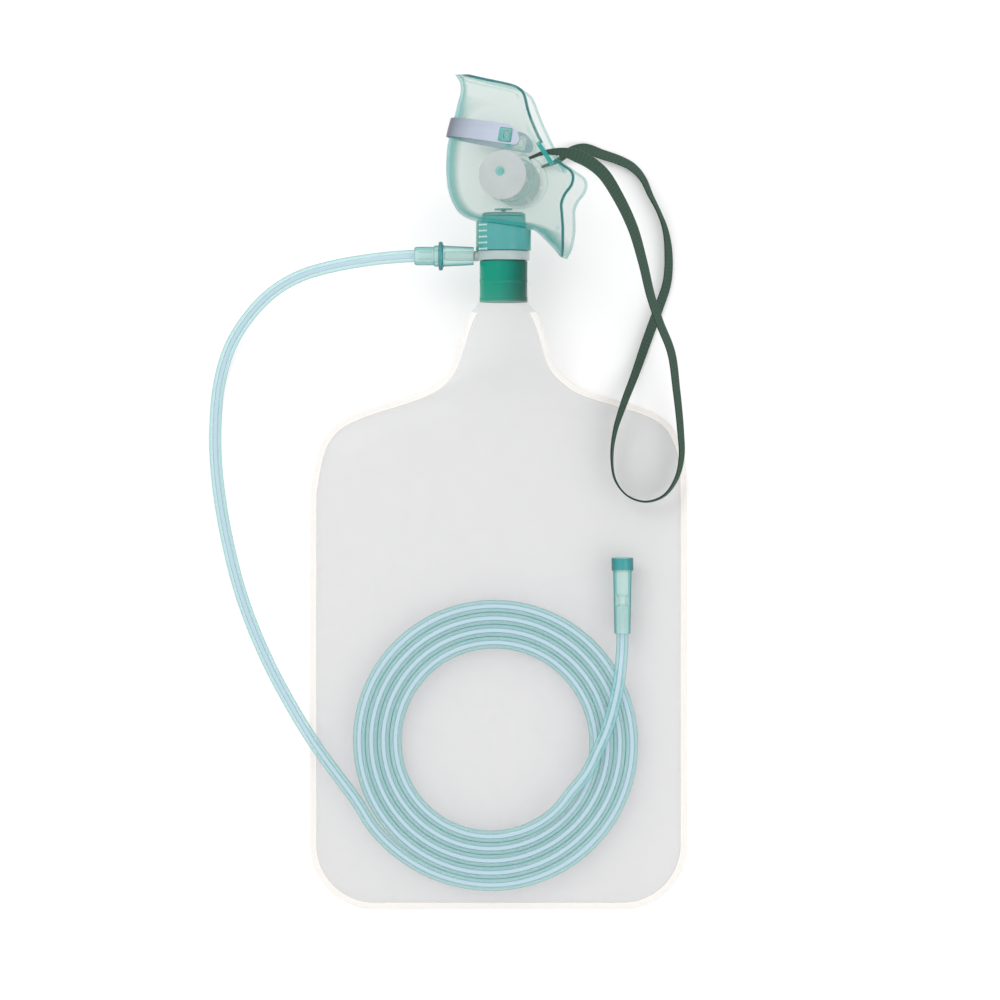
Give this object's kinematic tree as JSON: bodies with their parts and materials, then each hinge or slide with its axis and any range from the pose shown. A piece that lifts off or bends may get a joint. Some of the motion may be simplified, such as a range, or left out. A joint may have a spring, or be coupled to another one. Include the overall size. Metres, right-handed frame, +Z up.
{
  "type": "oxygen mask with reservoir bag",
  "caption": "Clear face mask with a swivel connector, one-way valves, nose clip and head strap, a flat reservoir bag on its manifold, and a coiled oxygen tube.",
  "frame": {"origin": "on the table under the middle of the mask and the bag, without the tube and strap", "axes": "+Z up from the table, +Y from the bag to the nose of the mask, +X out of the mask's face opening; the oxygen tube leaves towards -X"},
  "size_m": [0.2383, 0.4144, 0.0739],
  "materials": {
    "clear_mask": "clear pale green soft vinyl",
    "teal_plastic": "translucent teal moulded plastic",
    "white_plastic": "milky moulded plastic",
    "green_plastic": "glossy green sleeve",
    "silicone": "matt silicone",
    "aluminium_strip": "satin strip",
    "clear_tube": "clear aqua star-lumen tubing",
    "clear_film": "thin clear film with a milky weld",
    "elastic": "ribbed knitted elastic"
  },
  "bodies": {
    "bag_assembly": {"reservoir_bag": "clear_film", "bag_collar": "green_plastic", "neck_band": "clear_film", "gas_manifold": "white_plastic"},
    "mask": {"mask_shell": "clear_mask", "nose_clip": "aluminium_strip", "swivel_connector": "teal_plastic", "inhalation_valve_seat": "teal_plastic", "inhalation_flap_retainer": "teal_plastic", "head_strap": "elastic"},
    "exhalation_flap_near": {"exhalation_flap_near": "silicone"},
    "exhalation_flap_far": {"exhalation_flap_far": "silicone"},
    "inhalation_flap": {"inhalation_flap": "silicone"},
    "oxygen_line": {"inlet_connector": "teal_plastic", "oxygen_tube_run": "clear_tube", "oxygen_tube_coil": "clear_tube", "oxygen_tube_tail": "clear_tube", "supply_connector": "teal_plastic"}
  },
  "joints": [
    {"name": "mask_swivel", "type": "hinge", "parent": "bag_assembly", "child": "mask", "pos_m": [0.0025, 0.125, 0.0347], "axis": [0, -1, 0], "range_deg": [0, 118]},
    {"name": "exhalation_near_lift", "type": "slide", "parent": "mask", "child": "exhalation_flap_near", "axis": [-0.2773, 0, 0.9608], "range_m": [0, 0.001], "stiffness_N_per_m": 50},
    {"name": "exhalation_far_lift", "type": "slide", "parent": "mask", "child": "exhalation_flap_far", "axis": [-0.0645, 0, -0.9979], "range_m": [0, 0.001], "stiffness_N_per_m": 50},
    {"name": "inhalation_lift", "type": "slide", "parent": "mask", "child": "inhalation_flap", "axis": [0, 1, 0], "range_m": [0, 0.0008], "stiffness_N_per_m": 40},
    {"name": "tube_pull_off", "type": "slide", "parent": "bag_assembly", "child": "oxygen_line", "axis": [-1, 0, 0], "range_m": [0, 0.018]}
  ]
}
